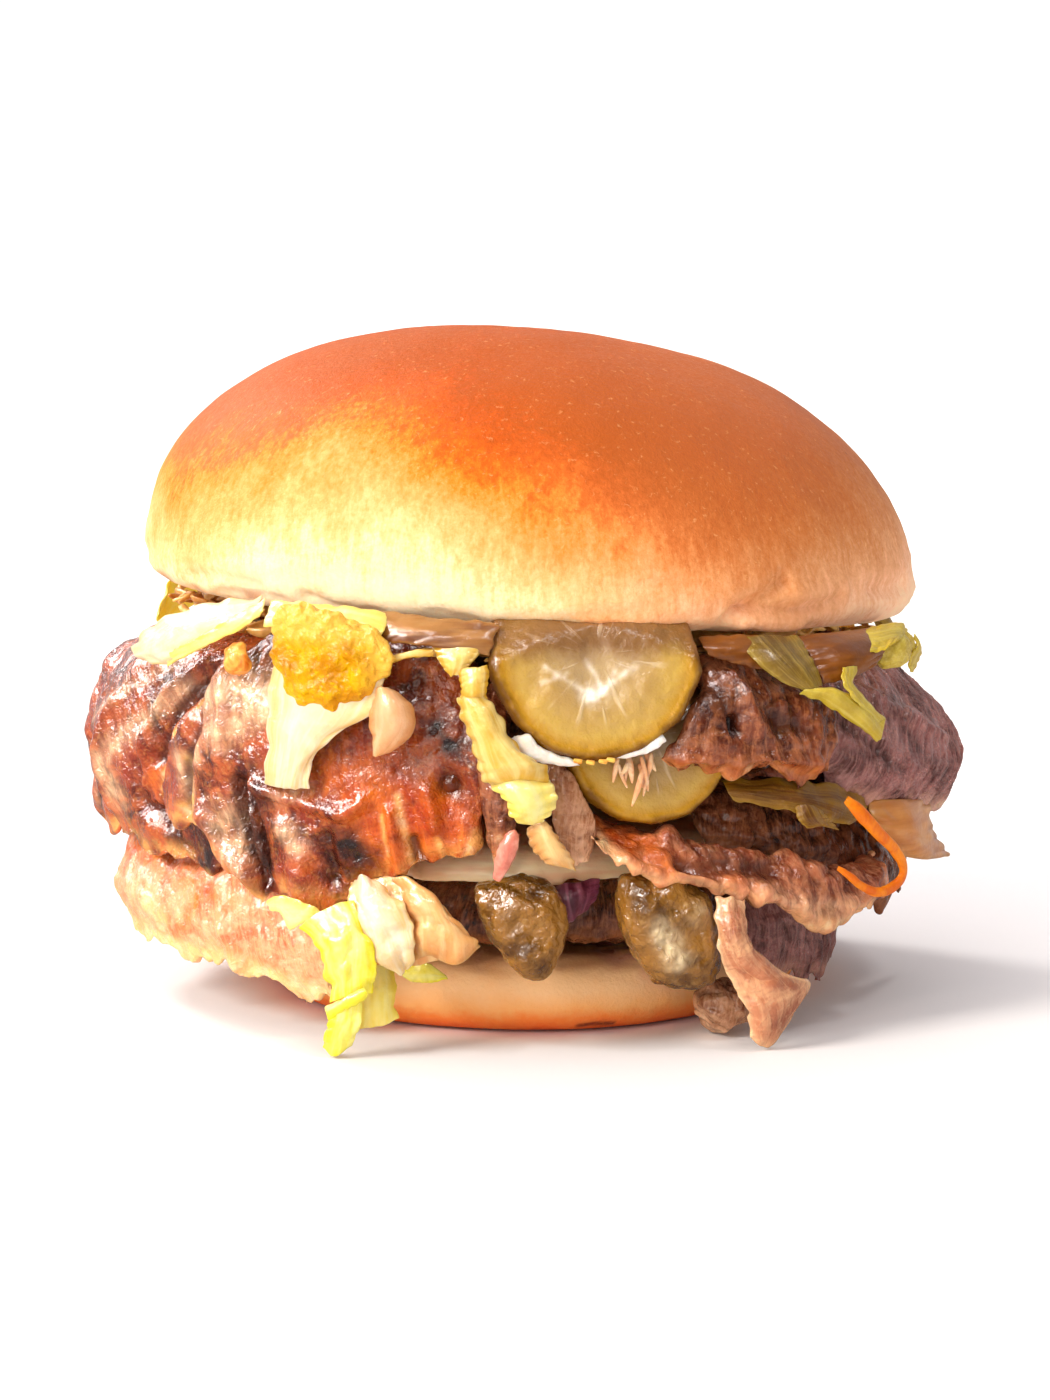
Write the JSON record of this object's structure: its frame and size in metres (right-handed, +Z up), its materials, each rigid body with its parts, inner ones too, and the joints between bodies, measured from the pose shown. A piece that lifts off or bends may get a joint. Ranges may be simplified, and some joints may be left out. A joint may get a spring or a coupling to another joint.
{
  "type": "hamburger",
  "caption": "Loaded hamburger: a soft round bun filled with glazed sliced meat, pickles, relish, cabbage, lettuce and carrot.",
  "frame": {"origin": "centre of the flat underside of the heel, which the burger rests on", "axes": "+Z up through the burger, -Y towards the side that the picture shows, +X to the right in it"},
  "size_m": [0.1301, 0.1305, 0.0982],
  "materials": {
    "crust": "baked golden crust, satin, pale at its lower edge",
    "heel": "baked crust below, pale crumb above",
    "relish": "wet and grainy",
    "carrot": "moist",
    "lettuce": "moist, pale yellow leaf",
    "green_leaf": "moist, green leaf with pale veins",
    "cabbage": "moist, translucent white leaf",
    "purple_cabbage": "moist",
    "onion": "moist and translucent",
    "pickle": "wet slice with an olive skin",
    "pickle_chunk": "wet and lumpy",
    "glazed_meat": "sticky dark glaze",
    "brown_meat": "moist roast meat",
    "grain_meat": "fibrous roast meat",
    "orange_meat": "oily roast meat",
    "dark_meat": "moist dark meat",
    "pale_meat": "moist pale meat with a fatty rim"
  },
  "bodies": {
    "root": {"bun_crown": "crust", "bun_heel": "heel", "relish_blob": "relish", "carrot_shred": "carrot", "lettuce_rope": "lettuce", "lettuce_small": "cabbage", "lettuce_yellow": "lettuce", "lettuce_fold": "green_leaf", "lettuce_bead": "green_leaf", "lettuce_striped": "green_leaf", "lettuce_crown": "lettuce", "lettuce_bit": "green_leaf", "cabbage_left": "cabbage", "cabbage_white": "cabbage", "cabbage_cream": "cabbage", "cabbage_low": "cabbage", "cabbage_clear": "cabbage", "cabbage_curl": "cabbage", "cabbage_relish": "cabbage", "onion_top": "onion", "cabbage_purple": "purple_cabbage", "crisp_bit": "relish", "pickle_front": "pickle", "pickle_lower": "pickle", "pickle_wedge": "pickle_chunk", "pickle_chunk": "pickle_chunk", "onion_amber": "onion", "onion_right": "onion", "lettuce_middle": "green_leaf", "lettuce_back_rope": "lettuce", "cabbage_back": "cabbage", "cabbage_back_low": "cabbage", "cabbage_side": "cabbage", "lettuce_right": "green_leaf", "pickle_back": "pickle", "pickle_side": "pickle", "pickle_back_chunk": "pickle_chunk", "meat_strand": "brown_meat", "meat_strip_mid": "brown_meat", "meat_strip_centre": "brown_meat", "meat_brown": "brown_meat", "meat_glazed": "glazed_meat", "meat_left_fold": "glazed_meat", "meat_grain": "grain_meat", "meat_orange": "orange_meat", "meat_dark": "dark_meat", "meat_pale": "pale_meat", "meat_low_slab": "dark_meat", "meat_low_lump": "brown_meat", "meat_back_right": "glazed_meat", "meat_back_left": "glazed_meat", "meat_back_low": "orange_meat", "meat_far_left": "pale_meat", "onion_round": "onion", "cabbage_bed": "cabbage", "meat_pile": "dark_meat", "meat_under": "dark_meat"}
  },
  "joints": []
}
